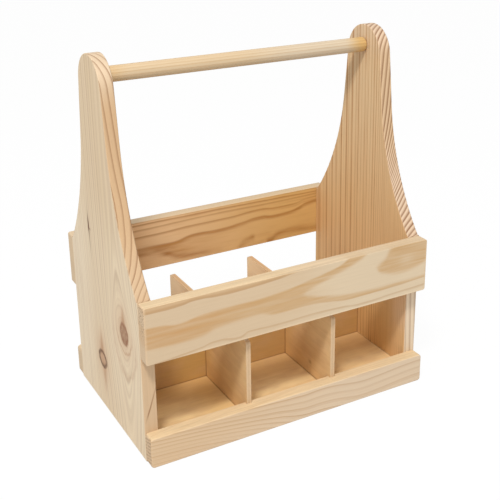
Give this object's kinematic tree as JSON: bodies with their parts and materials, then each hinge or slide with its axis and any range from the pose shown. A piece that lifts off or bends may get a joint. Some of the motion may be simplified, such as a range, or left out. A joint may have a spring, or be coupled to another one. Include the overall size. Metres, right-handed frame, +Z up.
{
  "type": "bottle caddy",
  "caption": "Open wooden bottle caddy with shaped end panels, a round handle above, slatted long sides and a divider grid that makes separate bottle cells.",
  "frame": {"origin": "on the standing surface, under the middle of the caddy", "axes": "+X along the handle towards the right end panel, -Y towards the front, +Z up"},
  "size_m": [0.28, 0.186, 0.3335],
  "materials": {
    "end_panel_wood": "sanded pine, unvarnished",
    "rail_wood": "sanded pine, unvarnished",
    "handle_wood": "smooth turned pine",
    "plywood": "smooth thin plywood"
  },
  "bodies": {
    "root": {"left_end_panel": "end_panel_wood", "right_end_panel": "end_panel_wood", "front_upper_rail": "rail_wood", "back_upper_rail": "rail_wood", "front_lower_rail": "rail_wood", "back_lower_rail": "rail_wood", "handle": "handle_wood", "floor_panel": "plywood", "long_divider": "plywood", "left_cross_divider": "plywood", "right_cross_divider": "plywood"}
  },
  "joints": []
}
